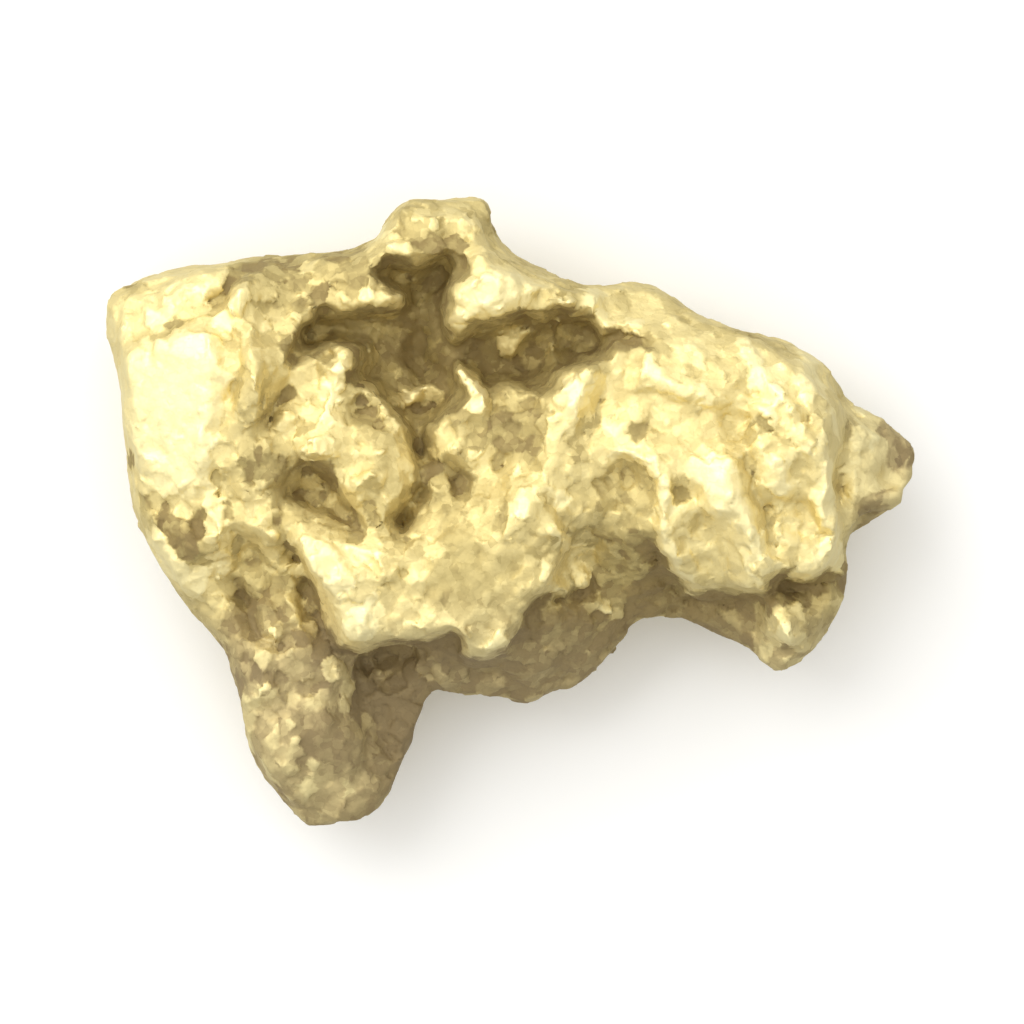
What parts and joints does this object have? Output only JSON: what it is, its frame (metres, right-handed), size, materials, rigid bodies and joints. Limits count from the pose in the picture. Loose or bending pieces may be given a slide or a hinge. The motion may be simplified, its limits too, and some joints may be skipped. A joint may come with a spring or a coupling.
{
  "type": "gold nugget",
  "caption": "Natural gold nugget: a flattish lumpy slab with a branching hollow in its face, a knob, a pointed snout and a thick leg. It lies flat for display.",
  "frame": {"origin": "centre of the bounding box's underside, on the surface that the nugget rests on", "axes": "+X along the length towards the pointed snout, +Y towards the knob, +Z out of the hollowed face"},
  "size_m": [0.022, 0.017, 0.0071],
  "materials": {
    "gold": "worn native gold, satin, with brown iron stain in the recesses"
  },
  "bodies": {
    "root": {"nugget": "gold"}
  },
  "joints": []
}
